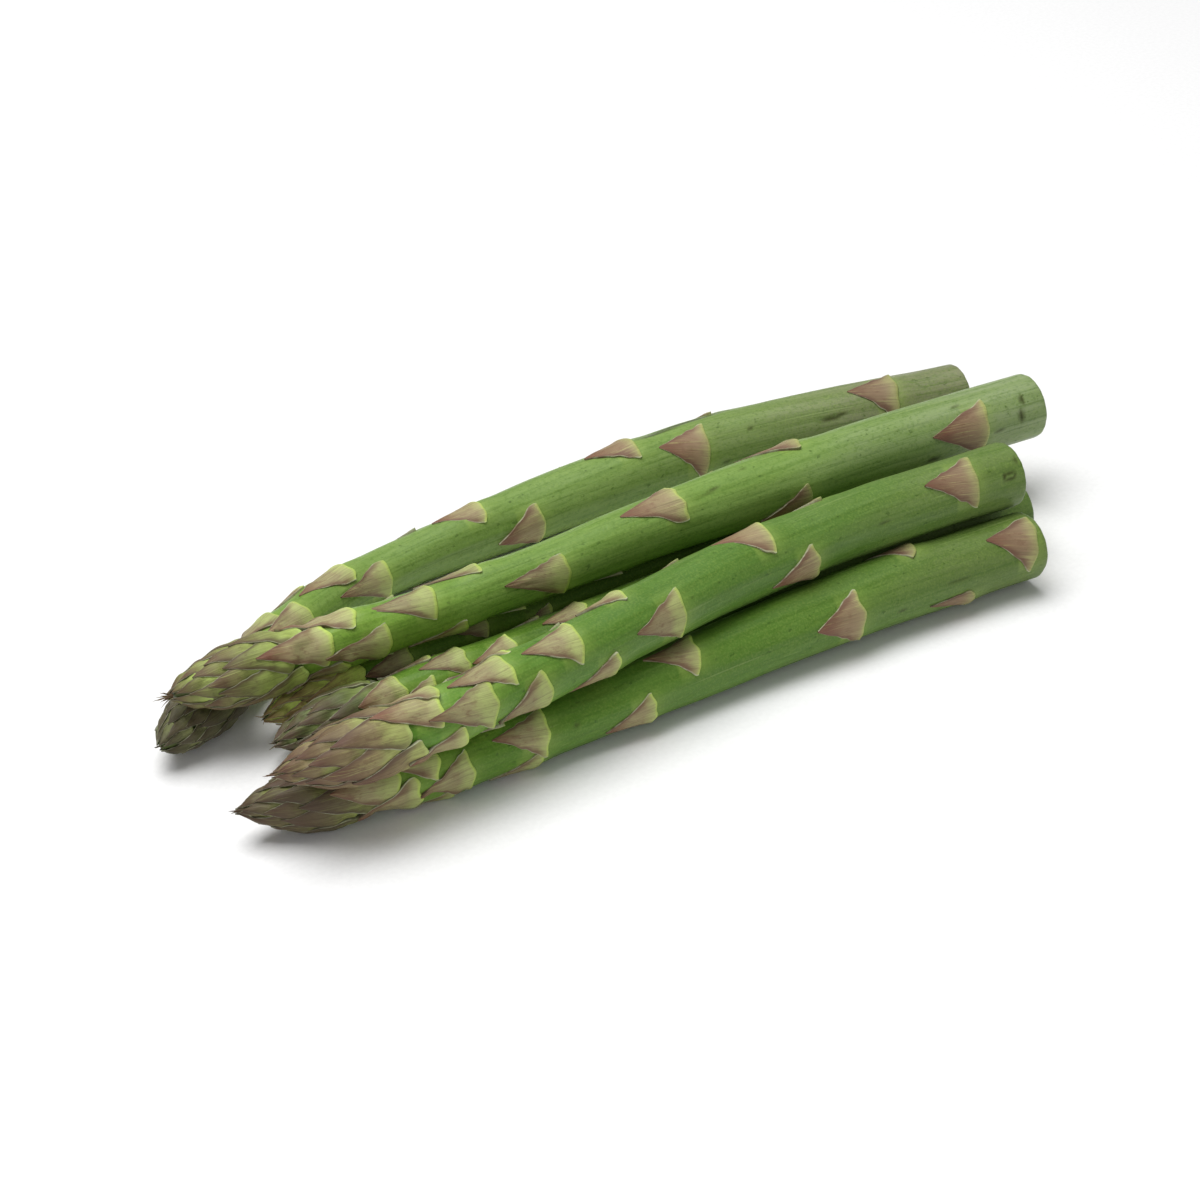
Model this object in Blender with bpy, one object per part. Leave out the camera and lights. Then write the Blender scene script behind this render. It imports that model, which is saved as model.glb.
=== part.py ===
"""A loose bundle of seven green asparagus spears, lying down in a pile.

Five spears lie on the table (a, e, c, g, f from back to front) and two lie on top of
them (b, d).  The cut butts point to +X and the buds to -X, +Y is the back, +Z is up.
The origin is at the middle of the pile's footprint, on the table.
"""
import math
from collections import namedtuple

import bmesh
import bpy
import numpy as np

MM = 0.001

# --- driving dimensions, in millimetres and degrees -------------------------------------

SIDES = 14                # flats around a stalk
RING_STEP = 13.0          # distance between rings along the plain stalk
BUD_LENGTH = 17.0         # the rounded tip ahead of the widest place of the bud
BUD_WIDEST = 20.0         # where the bud is widest, from the tip
BUD_SPREAD = 11.0         # how far the bud's swelling reaches along the stalk
TIP_RADIUS = 0.7          # the blunt end of the bud
BUTT_CHAMFER = 0.5        # the worn edge of the cut end

LEAF_GAP = 0.5            # air between a leaf and its stalk
LEAF_THICKNESS = 0.45     # a leaf at its tip and its sides
LEAF_LIP = 0.35           # extra thickness of the lip at a leaf's base
LEAF_ROWS = 4             # steps from a leaf's base to its tip
LEAF_COLUMNS = 4          # steps across a leaf
LEAF_TIP_SHARE = 0.06     # width left at a leaf's tip, as a share of its base
LEAF_TAPER = 0.85         # below 1 the sides bulge, above 1 they hollow
LEAF_CORNER_DROP = 2.5    # how far the base's corners run towards the bud
BUTT_HALF_ANGLE = 46.0    # half of the angle that a leaf wraps, near the cut end
NECK_HALF_ANGLE = 43.0    # the same just below the bud
NECK_STATION = 40.0       # distances from the tip of those two places
BUTT_STATION = 180.0

# A spear's axis runs through its points from the cut end to the tip.  A point of two
# numbers (x, y) lies on the table, so its height is the stalk's radius there; one of
# three numbers gives the height too.  butt, neck and bud are radii; the stalk grows
# from its neck radius to its butt radius between neck_end and full_at, both measured
# from the tip.  point sharpens the bud, from 0 for a round one to 1.  A leaf is (distance
# of its base from the tip, angle round the stalk, share of the full wrap): the angle is
# 0 on top, 90 at the back and -90 in front, and a leaf squeezed between two stalks wraps
# less than one with room.
Spear = namedtuple("Spear", "axis butt neck bud point neck_end full_at leaf_length leaves")

SPEARS = {
    "a": Spear(
        axis=[(124, 33.5), (100, 38), (77, 42.3), (45, 45), (9, 44.7), (-23, 42.5),
              (-46, 37), (-72, 23), (-99.5, 7)],
        butt=7.7, neck=5.2, bud=5.8, point=0.1, neck_end=70, full_at=170, leaf_length=12,
        leaves=[(215, -30, 1), (190, 112, 1), (172, 76, 1), (164, -56, 1), (148, 11, 1),
                (133, 100, 1), (119, -85, 1), (107, 0, 1)],
    ),
    "b": Spear(
        axis=[(120, 4.8, 18.7), (84, 6.6, 18.7), (50, 7.2, 18.6), (20, 7.6, 17.9),
              (-12, 7.0, 16.8), (-36, 7.4, 15.9), (-64, 8.5, 15.5), (-95.5, 9.4, 15.3)],
        butt=7.4, neck=5.2, bud=6.2, point=0.1, neck_end=55, full_at=165, leaf_length=15,
        leaves=[(199, -71, 1), (178, 95, 0.7), (154, 42, 1), (134, 90, 0.8), (120, -22, 1),
                (89, -80, 1), (72, 36, 1), (59, -31, 1)],
    ),
    "c": Spear(
        axis=[(92, 1.0), (60, 0.7), (20, -0.4), (-12, -1.2), (-38, -1.5), (-61, -2.0),
              (-80.5, -3.8)],
        butt=6.0, neck=5.0, bud=5.3, point=0.4, neck_end=45, full_at=140, leaf_length=11,
        leaves=[(158, -32, 0.5), (128, -31, 0.5), (98, -30, 0.5), (76, -8, 0.9),
                (57, -42, 1), (46, -16, 1)],
    ),
    "d": Spear(
        axis=[(93, -19.7, 20.3), (63.5, -18.2, 20.3), (35.5, -19.0, 20.3),
              (8, -22.2, 20.3), (-23, -27.5, 19.9), (-50, -30.8, 19.1),
              (-71, -32.0, 18.5), (-93.8, -27.2, 16.5)],
        butt=7.0, neck=5.8, bud=6.2, point=1.0, neck_end=35, full_at=120, leaf_length=13,
        leaves=[(176, -50, 1), (143, 78, 1), (132, -96, 0.8), (127, 112, 0.8), (123, -8, 1),
                (104, 85, 1), (94, -74, 1), (69, -27, 1)],
    ),
    "e": Spear(
        axis=[(95, 13.6), (60, 13.3), (20, 12.6), (-12, 11.7), (-37, 11.0), (-58, 9.0),
              (-77.6, 6)],
        butt=6.0, neck=4.6, bud=4.9, point=0.3, neck_end=45, full_at=140, leaf_length=11,
        leaves=[(160, 66, 1), (141, 94, 1), (120, 55, 1), (99, 88, 1), (80, 60, 1),
                (63, 80, 1), (50, 48, 1)],
    ),
    "f": Spear(
        axis=[(91.8, -28.9), (58, -27.3), (16, -27.5), (-20, -28.7), (-50, -28.5),
              (-76, -26.4), (-98.3, -20.4)],
        butt=7.4, neck=5.8, bud=6.3, point=0.8, neck_end=35, full_at=155, leaf_length=12,
        leaves=[(189, -52, 1), (172, -119, 0.4), (162, 12, 0.6), (142, -80, 1),
                (102, -30, 0.8), (89, -100, 0.8), (64, -63, 1), (47, -84, 1)],
    ),
    "g": Spear(
        axis=[(101.5, -13.2), (69, -12.8), (42, -12.6), (16, -12.9), (-15, -13.8),
              (-45, -14.3), (-72, -14)],
        butt=6.8, neck=5.2, bud=5.5, point=0.2, neck_end=40, full_at=140, leaf_length=10,
        leaves=[(162, 34, 0.4), (118, 34, 0.4), (80, 22, 0.7), (68, -24, 0.7),
                (47, -20, 0.9)],
    ),
}

STALK_GREEN = (0.125, 0.235, 0.035)
LEAF_TAUPE = (0.300, 0.235, 0.165)
STALK_ROUGHNESS = 0.42
LEAF_ROUGHNESS = 0.60
TABLE_CLEARANCE = 0.05    # the lowest facets stay this far above the table
AXIS_SAMPLES = 160        # points of each axis line


# --- shape rules --------------------------------------------------------------------------

def smooth_step(value):
    """Ease from 0 to 1."""
    value = np.clip(value, 0.0, 1.0)
    return value * value * (3.0 - 2.0 * value)


def stalk_radius(spear, station):
    """Radius of the stalk at a distance from its tip."""
    grown = smooth_step((station - spear.neck_end) / (spear.full_at - spear.neck_end))
    stem = spear.neck + (spear.butt - spear.neck) * grown
    swelling = (spear.bud - spear.neck) * np.exp(-((station - BUD_WIDEST) / BUD_SPREAD) ** 2)
    towards_tip = 1.0 - np.clip(station / BUD_LENGTH, 0.0, 1.0)
    rounding = (1.0 - towards_tip ** (2.2 - 0.6 * spear.point)) ** (0.5 + 0.75 * spear.point)
    return np.maximum((stem + swelling) * rounding, TIP_RADIUS)


def natural_spline(knots, values, samples):
    """A natural cubic spline through values at knots, read at samples."""
    count = len(knots)
    step = np.diff(knots)
    slope = np.diff(values, axis=0) / step[:, None]
    system = np.eye(count)
    right = np.zeros_like(values)
    for i in range(1, count - 1):
        system[i, i - 1:i + 2] = step[i - 1], 2.0 * (step[i - 1] + step[i]), step[i]
        right[i] = 6.0 * (slope[i] - slope[i - 1])
    bend = np.linalg.solve(system, right)
    cell = np.clip(np.searchsorted(knots, samples) - 1, 0, count - 2)
    ahead = (samples - knots[cell])[:, None]
    width = step[cell][:, None]
    start = slope[cell] - width * (2.0 * bend[cell] + bend[cell + 1]) / 6.0
    cubic = (bend[cell + 1] - bend[cell]) / (6.0 * width)
    return values[cell] + ahead * (start + ahead * (bend[cell] / 2.0 + ahead * cubic))


def distance_along(points):
    """Running length of a line of points."""
    pieces = np.linalg.norm(np.diff(points, axis=0), axis=1)
    return np.concatenate([[0.0], np.cumsum(pieces)])


class Axis:
    """A spear's centre line: place and directions at any distance from the tip."""

    def __init__(self, spear):
        on_table = len(spear.axis[0]) == 2
        points = np.array([(*p, 0.0) if on_table else p for p in spear.axis], dtype=float)
        knots = distance_along(points)
        line = natural_spline(knots, points, np.linspace(0.0, knots[-1], AXIS_SAMPLES))
        if on_table:
            station = knots[-1] - distance_along(line)
            resting = stalk_radius(spear, np.maximum(station, BUD_WIDEST))
            line[:, 2] = resting + TABLE_CLEARANCE
        run = distance_along(line)
        self.line = line[::-1]
        self.station = (run[-1] - run)[::-1]
        self.length = run[-1]
        self.towards_tip = -np.gradient(self.line, self.station, axis=0)

    def at(self, station):
        """Centre, back-pointing side and upward direction at a distance from the tip."""
        centre = self._read(self.line, station)
        forward = self._read(self.towards_tip, station)
        forward /= np.linalg.norm(forward)
        side = np.cross(forward, (0.0, 0.0, 1.0))
        side /= np.linalg.norm(side)
        return centre, side, np.cross(side, forward)

    def _read(self, table, station):
        return np.array([np.interp(station, self.station, column) for column in table.T])


def round_point(axis, station, angle, radius):
    """A point at a distance from the axis, with the angle measured from the top."""
    centre, side, up = axis.at(station)
    return centre + radius * (math.cos(angle) * up + math.sin(angle) * side)


# --- solids -------------------------------------------------------------------------------

def stalk_stations(length):
    """Ring places from the tip to the cut end, close together where the bud curves."""
    bud = [0.0, 1.2, 3.5, 6.5, 10.0, 14.0, 18.5, 24.0, 31.0, 40.0]
    plain_length = length - bud[-1]
    count = round(plain_length / RING_STEP)
    plain = [bud[-1] + plain_length * i / count for i in range(1, count + 1)]
    plain.insert(-1, length - BUTT_CHAMFER)
    return bud + plain


def stalk_mesh(spear, axis):
    """The whole grown stalk with its bud, as rings of points from tip to cut end."""
    mesh = bmesh.new()
    rings = []
    for station in stalk_stations(axis.length):
        radius = stalk_radius(spear, station)
        if station == axis.length:
            radius -= BUTT_CHAMFER
        turns = (2.0 * math.pi * i / SIDES for i in range(SIDES))
        places = [round_point(axis, station, turn, radius) for turn in turns]
        rings.append([mesh.verts.new(place) for place in places])
    for near, far in zip(rings, rings[1:]):
        bridge(mesh, near, far, closed=True)
    mesh.faces.new(rings[0])
    mesh.faces.new(rings[-1])
    return mesh


def bridge(mesh, near, far, closed):
    """Join two rows of points of the same count with four-sided faces."""
    count = len(near)
    last = count if closed else count - 1
    for i in range(last):
        after = (i + 1) % count
        mesh.faces.new((near[i], near[after], far[after], far[i]))


def leaf_half_angle(station):
    """How far a leaf wraps to each side: more just below the bud than at the butt."""
    share = smooth_step((station - NECK_STATION) / (BUTT_STATION - NECK_STATION))
    return math.radians(NECK_HALF_ANGLE + (BUTT_HALF_ANGLE - NECK_HALF_ANGLE) * share)


def leaf_mesh(spear, axis, base_station, middle_degrees, wrap):
    """A scale leaf: a thin curved triangle that points to the tip of its spear."""
    mesh = bmesh.new()
    middle = math.radians(middle_degrees)
    half_angle = leaf_half_angle(base_station) * wrap
    inner, outer = [], []
    for row in range(LEAF_ROWS + 1):
        along = row / LEAF_ROWS
        width = LEAF_TIP_SHARE + (1.0 - LEAF_TIP_SHARE) * (1.0 - along) ** LEAF_TAPER
        thickness = LEAF_THICKNESS + LEAF_LIP * (1.0 - along) ** 2
        inner_row, outer_row = [], []
        for column in range(LEAF_COLUMNS + 1):
            across = 2.0 * column / LEAF_COLUMNS - 1.0
            drop = LEAF_CORNER_DROP * across ** 2 * (1.0 - along)
            station = base_station - spear.leaf_length * along - drop
            angle = middle + half_angle * width * across
            radius = stalk_radius(spear, station) + LEAF_GAP
            inner_row.append(mesh.verts.new(round_point(axis, station, angle, radius)))
            outer_place = round_point(axis, station, angle, radius + thickness)
            outer_row.append(mesh.verts.new(outer_place))
        inner.append(inner_row)
        outer.append(outer_row)
    for skin in (inner, outer):
        for near, far in zip(skin, skin[1:]):
            bridge(mesh, near, far, closed=False)
    bridge(mesh, rim(inner), rim(outer), closed=True)
    return mesh


def rim(rows):
    """The border of a grid of points, once round."""
    right = [row[-1] for row in rows[1:-1]]
    left = [row[0] for row in rows[1:-1]]
    return rows[0] + right + rows[-1][::-1] + left[::-1]


# --- objects ------------------------------------------------------------------------------

def clear_scene():
    for item in list(bpy.data.objects):
        bpy.data.objects.remove(item, do_unlink=True)


def principled(name, colour, roughness):
    material = bpy.data.materials.new(name)
    material.use_nodes = True
    shader = material.node_tree.nodes["Principled BSDF"]
    shader.inputs["Base Color"].default_value = (*colour, 1.0)
    shader.inputs["Roughness"].default_value = roughness
    shader.inputs["Metallic"].default_value = 0.0
    return material


def empty(name, parent=None, location=(0.0, 0.0, 0.0)):
    item = bpy.data.objects.new(name, None)
    item.location = location
    item.parent = parent
    bpy.context.scene.collection.objects.link(item)
    return item


def add_object(name, shape, parent, origin, colour, roughness):
    """Turn a bmesh in millimetres into an object whose origin is its spear's cut end."""
    bmesh.ops.translate(shape, verts=shape.verts, vec=[-value for value in origin])
    bmesh.ops.scale(shape, verts=shape.verts, vec=(MM, MM, MM))
    bmesh.ops.recalc_face_normals(shape, faces=shape.faces)
    data = bpy.data.meshes.new(name)
    shape.to_mesh(data)
    shape.free()
    data.shade_smooth()
    data.set_sharp_from_angle(angle=math.radians(40.0))
    data.materials.append(principled(name, colour, roughness))
    item = bpy.data.objects.new(name, data)
    item.parent = parent
    bpy.context.scene.collection.objects.link(item)
    return item


def build_spear(letter, spear, bundle):
    axis = Axis(spear)
    butt = axis.at(axis.length)[0]
    holder = empty(f"spear_{letter}", bundle, butt * MM)
    stalk = stalk_mesh(spear, axis)
    solids = [add_object(f"spear_{letter}_stalk", stalk, holder, butt,
                         STALK_GREEN, STALK_ROUGHNESS)]
    for number, (station, angle, wrap) in enumerate(spear.leaves, start=1):
        leaf = leaf_mesh(spear, axis, station, angle, wrap)
        solids.append(add_object(f"spear_{letter}_leaf_{number}", leaf, holder, butt,
                                 LEAF_TAUPE, LEAF_ROUGHNESS))
    return solids


def centre_on_table(bundle, solids):
    """Move the bundle so that the origin is the middle of its footprint, on the table."""
    bpy.context.view_layer.update()
    corners = np.array([item.matrix_world @ vertex.co
                        for item in solids for vertex in item.data.vertices])
    low, high = corners.min(axis=0), corners.max(axis=0)
    bundle.location = (-(low[0] + high[0]) / 2.0, -(low[1] + high[1]) / 2.0, -low[2])
    bpy.context.view_layer.update()


def main():
    clear_scene()
    bundle = empty("asparagus_bundle")
    solids = []
    for letter, spear in SPEARS.items():
        solids += build_spear(letter, spear, bundle)
    centre_on_table(bundle, solids)


main()
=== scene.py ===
"""The looks of a loose bundle of seven green asparagus spears.

Each stalk's centre line and girth, and each scale leaf's place, are measured on the
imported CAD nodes, and a detailed piece is built in the same place.  Lengths inside this
script are in millimetres.  A place on a spear is a station (distance from its tip) and
an angle round the stalk (0 on top, 90 at the back, -90 in front).
"""
import math

import bpy
import numpy as np
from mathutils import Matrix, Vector


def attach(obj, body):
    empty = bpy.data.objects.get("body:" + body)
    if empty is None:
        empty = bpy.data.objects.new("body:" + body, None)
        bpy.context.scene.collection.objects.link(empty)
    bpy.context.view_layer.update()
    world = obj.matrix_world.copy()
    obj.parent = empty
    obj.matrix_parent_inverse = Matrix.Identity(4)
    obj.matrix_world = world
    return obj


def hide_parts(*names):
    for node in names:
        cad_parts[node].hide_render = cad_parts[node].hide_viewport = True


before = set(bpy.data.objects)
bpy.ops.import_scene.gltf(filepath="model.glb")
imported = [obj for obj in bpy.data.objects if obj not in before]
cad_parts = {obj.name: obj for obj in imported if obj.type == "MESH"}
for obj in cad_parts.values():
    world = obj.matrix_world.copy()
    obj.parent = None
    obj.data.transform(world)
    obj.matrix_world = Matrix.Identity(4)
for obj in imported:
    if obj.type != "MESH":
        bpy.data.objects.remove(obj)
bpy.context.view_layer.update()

MM = 0.001
GOLDEN_ANGLE = 137.508

# --- what the CAD model doesn't say -------------------------------------------------------

# turn: which way the leaves wind up the stalk.  lean: how far the tip of each CAD leaf
# is turned round the stalk from its base, in degrees.  neck: the leaves too small for
# the CAD model (station, angle, lean, length).  bud: station and angle of the bud's first
# scale.  marks: dents and scars (station, angle, half length, half width, strength).
# hairs: dry bristles at the bud's tip.
SPEARS = {
    "a": dict(
        turn=1, lean=[20, 0, 5, 28, 2, 0, -12, 16],
        neck=[(93, 84, 0, 13), (90, 150, 0, 13), (78, -70, 16, 15), (70.5, 4, 4, 15),
              (63, 152, 0, 14), (60, 72, 0, 14), (53, -40, 26, 15), (50, -118, 0, 14),
              (47, 30, 12, 14), (42, 104, 0, 14), (39, -84, 6, 14), (37, 176, 0, 14)],
        bud=(34.0, -8.0), hairs=3,
        marks=[(196.5, -54, 2.6, 0.6, 1.0), (199.5, -49, 1.5, 0.35, 1.0),
               (163, 21, 11.0, 0.9, 1.0), (155, 12, 6.0, 0.5, 1.0), (176, -40, 0.8, 0.5, 0.8),
               (168, -84, 1.2, 0.3, 0.7)],
    ),
    "b": dict(
        turn=-1, lean=[8, 0, 4, 0, 13, 22, 0, 24],
        neck=[(151, -116, -6, 13), (104, 176, 0, 14), (97, 128, 0, 14), (80, 166, 0, 14),
              (65, -144, 0, 13), (54, 96, 0, 14), (50, 160, 0, 14), (47, -96, 14, 15),
              (42, 8, 14, 17), (38, -146, 0, 14), (36, 84, 0, 14), (34.5, -51, 10, 17)],
        bud=(31.0, 150.0), hairs=16,
        marks=[(209.6, -44, 0.6, 1.3, 1.0), (208.4, -71, 0.8, 1.6, 1.0),
               (184.0, -104, 2.0, 0.7, 1.0), (202.0, -84, 1.6, 0.35, 0.8),
               (193.0, -20, 1.2, 0.3, 0.6), (126, -28, 3.2, 0.25, 1.0),
               (128, -24, 1.6, 0.2, 0.9), (137, -5, 0.9, 0.4, 0.5),
               (84, -112, 1.1, 0.7, 0.9), (58, 5, 0.8, 0.4, 0.7)],
    ),
    "c": dict(
        turn=-1, lean=[0, 0, 0, 0, 0, 8],
        neck=[(67, 75, 0, 11), (52, 120, 0, 12), (50, -120, 0, 12), (40, 60, 0, 12),
              (37, -85, 0, 12), (34, 150, 0, 12), (30, -48, 0, 12)],
        bud=(28.0, 95.0), hairs=2, marks=[],
    ),
    "d": dict(
        turn=-1, lean=[17, 0, -14, 0, 32, 0, 4, 22],
        neck=[(85, 42, 0, 11), (83, 144, 0, 13), (76, -125, -8, 12), (71, 96, 0, 13),
              (62, 150, 0, 13), (58.5, -95, -20, 13), (55, 58, 0, 13), (52, -5, 6, 14),
              (49, 170, 0, 13), (45.5, -68, 20, 15), (43, 100, 0, 13), (38.5, -126, 4, 13),
              (36.5, 28, 4, 14), (34.5, -20, 12, 14)],
        bud=(32.4, 157.0), hairs=2,
        marks=[(184, -54, 1.5, 0.28, 1.0), (184, -64, 1.5, 0.28, 1.0),
               (182.5, -59, 0.3, 0.8, 1.0), (185.5, -59, 0.3, 0.8, 1.0),
               (186.5, -36, 0.5, 0.9, 0.8), (150, -70, 1.5, 0.25, 0.6)],
    ),
    "e": dict(
        turn=1, lean=[0, 0, 0, 0, 0, 0, 0],
        neck=[(70, -100, 0, 11), (55, -30, 0, 11), (46, 150, 0, 11), (41, -120, 0, 11),
              (38, 95, 0, 11), (35.5, -66, 6, 12), (31, 30, 0, 12), (29, 170, 0, 12)],
        bud=(27.0, -110.0), hairs=2, marks=[],
    ),
    "f": dict(
        turn=1, lean=[26, 12, 40, 4, 26, -14, 20, -18],
        neck=[(120, 130, 0, 12), (75, 60, 0, 12), (69, 150, 0, 12), (62, -142, 0, 11),
              (55, 25, 10, 13), (51, 110, 0, 12), (43, -160, 0, 12), (40, -30, 10, 13),
              (38, 70, 0, 12), (35.5, -112, -6, 13), (33, 140, 0, 12), (31.5, -62, 6, 14)],
        bud=(29.5, 20.0), hairs=2,
        marks=[(152, -95, 1.2, 0.4, 0.7), (70, -70, 0.8, 0.6, 0.7), (167, -75, 3.0, 0.3, 0.5)],
    ),
    "g": dict(
        turn=1, lean=[0, 0, 0, 0, 0],
        neck=[(75, 120, 0, 11), (60, -100, 0, 11), (52, 90, 0, 11), (46, 150, 0, 11),
              (42, -75, 0, 11), (39, 62, 0, 12), (36, -20, 6, 12), (33, -130, 0, 12),
              (31, 105, 0, 12)],
        bud=(29.0, -75.0), hairs=2, marks=[],
    ),
}

# Linear colours.  stem: from the neck, over the middle, to the cut end.  leaf: lip, pale
# foot, body, tip, edge.  bud: the same for the bud's scales.
COLOURS = {
    "a": dict(stem=[(0.185, 0.318, 0.053), (0.207, 0.318, 0.085), (0.239, 0.244, 0.148)],
              bud=[(0.234, 0.273, 0.094), (0.172, 0.187, 0.070), (0.117, 0.117, 0.051),
                   (0.066, 0.051, 0.027), (0.062, 0.047, 0.030)]),
    "b": dict(stem=[(0.170, 0.319, 0.036), (0.196, 0.319, 0.072), (0.278, 0.350, 0.175)],
              bud=[(0.430, 0.580, 0.150), (0.340, 0.430, 0.105), (0.230, 0.260, 0.075),
                   (0.115, 0.070, 0.038), (0.085, 0.055, 0.034)]),
    "c": dict(stem=[(0.099, 0.216, 0.018), (0.090, 0.180, 0.023), (0.117, 0.180, 0.045)],
              bud=[(0.240, 0.310, 0.080), (0.170, 0.220, 0.060), (0.110, 0.130, 0.045),
                   (0.080, 0.050, 0.030), (0.080, 0.055, 0.035)]),
    "d": dict(stem=[(0.120, 0.265, 0.030), (0.105, 0.215, 0.035), (0.150, 0.220, 0.065)],
              bud=[(0.430, 0.520, 0.160), (0.330, 0.360, 0.115), (0.220, 0.175, 0.080),
                   (0.110, 0.055, 0.035), (0.085, 0.048, 0.034)]),
    # e's bud colours are painted brighter than its own colour: painted light where the bundle
    # shades the bud
    "e": dict(stem=[(0.110, 0.230, 0.020), (0.095, 0.200, 0.022), (0.120, 0.200, 0.050)],
              bud=[(0.632, 0.800, 0.172), (0.552, 0.690, 0.138), (0.437, 0.460, 0.115),
                   (0.241, 0.149, 0.063), (0.207, 0.132, 0.069)]),
    "f": dict(stem=[(0.112, 0.241, 0.019), (0.107, 0.219, 0.030), (0.139, 0.203, 0.059)],
              bud=[(0.261, 0.313, 0.087), (0.191, 0.209, 0.061), (0.113, 0.096, 0.042),
                   (0.070, 0.042, 0.024), (0.065, 0.044, 0.028)]),
    # g's bud colours are painted brighter and greener than its own colour: painted light where
    # the bundle shades the bud
    "g": dict(stem=[(0.108, 0.234, 0.018), (0.090, 0.189, 0.023), (0.117, 0.189, 0.050)],
              bud=[(0.340, 0.476, 0.076), (0.255, 0.348, 0.060), (0.162, 0.196, 0.043),
                   (0.089, 0.061, 0.027), (0.072, 0.049, 0.027)]),
}
LEAF_COLOURS = [(0.450, 0.590, 0.120), (0.390, 0.440, 0.155), (0.300, 0.265, 0.130),
                (0.165, 0.072, 0.045), (0.135, 0.066, 0.045)]
OLD_LEAF = (0.275, 0.180, 0.115)

AROUND = 72               # points round a stalk
RING_STEP = 0.7           # distance between rings of a stalk
BUD_DEPTH = 1.15          # how deep the bud's core lies under its scales
FIELD_STEP = 0.5          # cell of the height field that the leaves are laid on
FIELD_TURNS = 90          # its cells round the stalk
BUD_FULL = 24.0           # from here to the tip the scales lie in full layers
BUD_FADED = 42.0          # and from here to the cut end they lie on the bare stalk
LIP = 0.95                # height of a leaf's lip over the stalk
RUN_ON = 4.0              # how far a centre line runs on past the tip, for the bristles
CUT_MARGIN = 9.0          # the last measured ring lies this far before the cut end
PRESS_PASSES = 3          # how often leaves are pressed back from a neighbour
PRESS_GAP = 0.12          # what is left open between them
PRESS_SHARE = 0.55        # how much of what is too close goes at each pass
PRESS_REACH = 12.0        # how far from a neighbour's centre line leaves are looked at
PRESS_CHUNK = 4000        # points handled together
FLOOR_START = 0.6         # points lower than this are squeezed
FLOOR_GAP = 0.05          # so that none comes closer than this to the surface
SHARP_ANGLE = 50.0        # degrees between faces that keep an edge
VIEW_AZIMUTH = -34.0      # the camera's direction, in degrees
VIEW_ELEVATION = 31.0
VIEW_DISTANCE = 0.65      # metres
VIEW_TARGET = (-0.01271, -0.00760, 0.01060)   # metres, near the middle of the bundle


# --- measuring the CAD nodes --------------------------------------------------------------

def smooth_step(value):
    value = np.clip(value, 0.0, 1.0)
    return value * value * (3.0 - 2.0 * value)


def node_mesh(name):
    """Vertices (mm) and edges of a CAD node."""
    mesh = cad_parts[name].data
    points = np.empty(len(mesh.vertices) * 3)
    mesh.vertices.foreach_get("co", points)
    edges = np.empty(len(mesh.edges) * 2, dtype=np.int64)
    mesh.edges.foreach_get("vertices", edges)
    return points.reshape(-1, 3) / MM, edges.reshape(-1, 2)


def cut_through(points, edges, origin, direction):
    """Where a plane cuts the edges of a mesh."""
    height = (points - origin) @ direction
    a, b = edges.T
    crossed = (height[a] < 0.0) != (height[b] < 0.0)
    a, b = a[crossed], b[crossed]
    share = (height[a] / (height[a] - height[b]))[:, None]
    return np.unique(np.round(points[a] + share * (points[b] - points[a]), 3), axis=0)


def unit(vectors):
    return vectors / np.linalg.norm(vectors, axis=-1, keepdims=True)


def distance_along(points):
    pieces = np.linalg.norm(np.diff(points, axis=0), axis=1)
    return np.concatenate([[0.0], np.cumsum(pieces)])


def natural_spline(knots, values, samples):
    """A natural cubic spline through values at knots, read at samples."""
    count = len(knots)
    step = np.diff(knots)
    slope = np.diff(values, axis=0) / step[:, None]
    system = np.eye(count)
    right = np.zeros_like(values)
    for i in range(1, count - 1):
        system[i, i - 1:i + 2] = step[i - 1], 2.0 * (step[i - 1] + step[i]), step[i]
        right[i] = 6.0 * (slope[i] - slope[i - 1])
    bend = np.linalg.solve(system, right)
    cell = np.clip(np.searchsorted(knots, samples) - 1, 0, count - 2)
    ahead = (samples - knots[cell])[:, None]
    width = step[cell][:, None]
    start = slope[cell] - width * (2.0 * bend[cell] + bend[cell + 1]) / 6.0
    cubic = (bend[cell + 1] - bend[cell]) / (6.0 * width)
    return values[cell] + ahead * (start + ahead * (bend[cell] / 2.0 + ahead * cubic))


def waves(rng, count, around, length, size):
    """A smooth random unevenness over a stalk: a function of station and angle."""
    turns = rng.integers(around[0], around[1] + 1, count)
    pace = 2.0 * math.pi / rng.uniform(length[0], length[1], count) * rng.choice([-1, 1], count)
    shift = rng.uniform(0.0, 2.0 * math.pi, count)
    each = size * math.sqrt(2.0 / count)

    def read(station, angle):
        total = 0.0
        for turn, speed, start in zip(turns, pace, shift):
            total = total + np.cos(turn * angle + speed * station + start)
        return total * each

    return read


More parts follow.
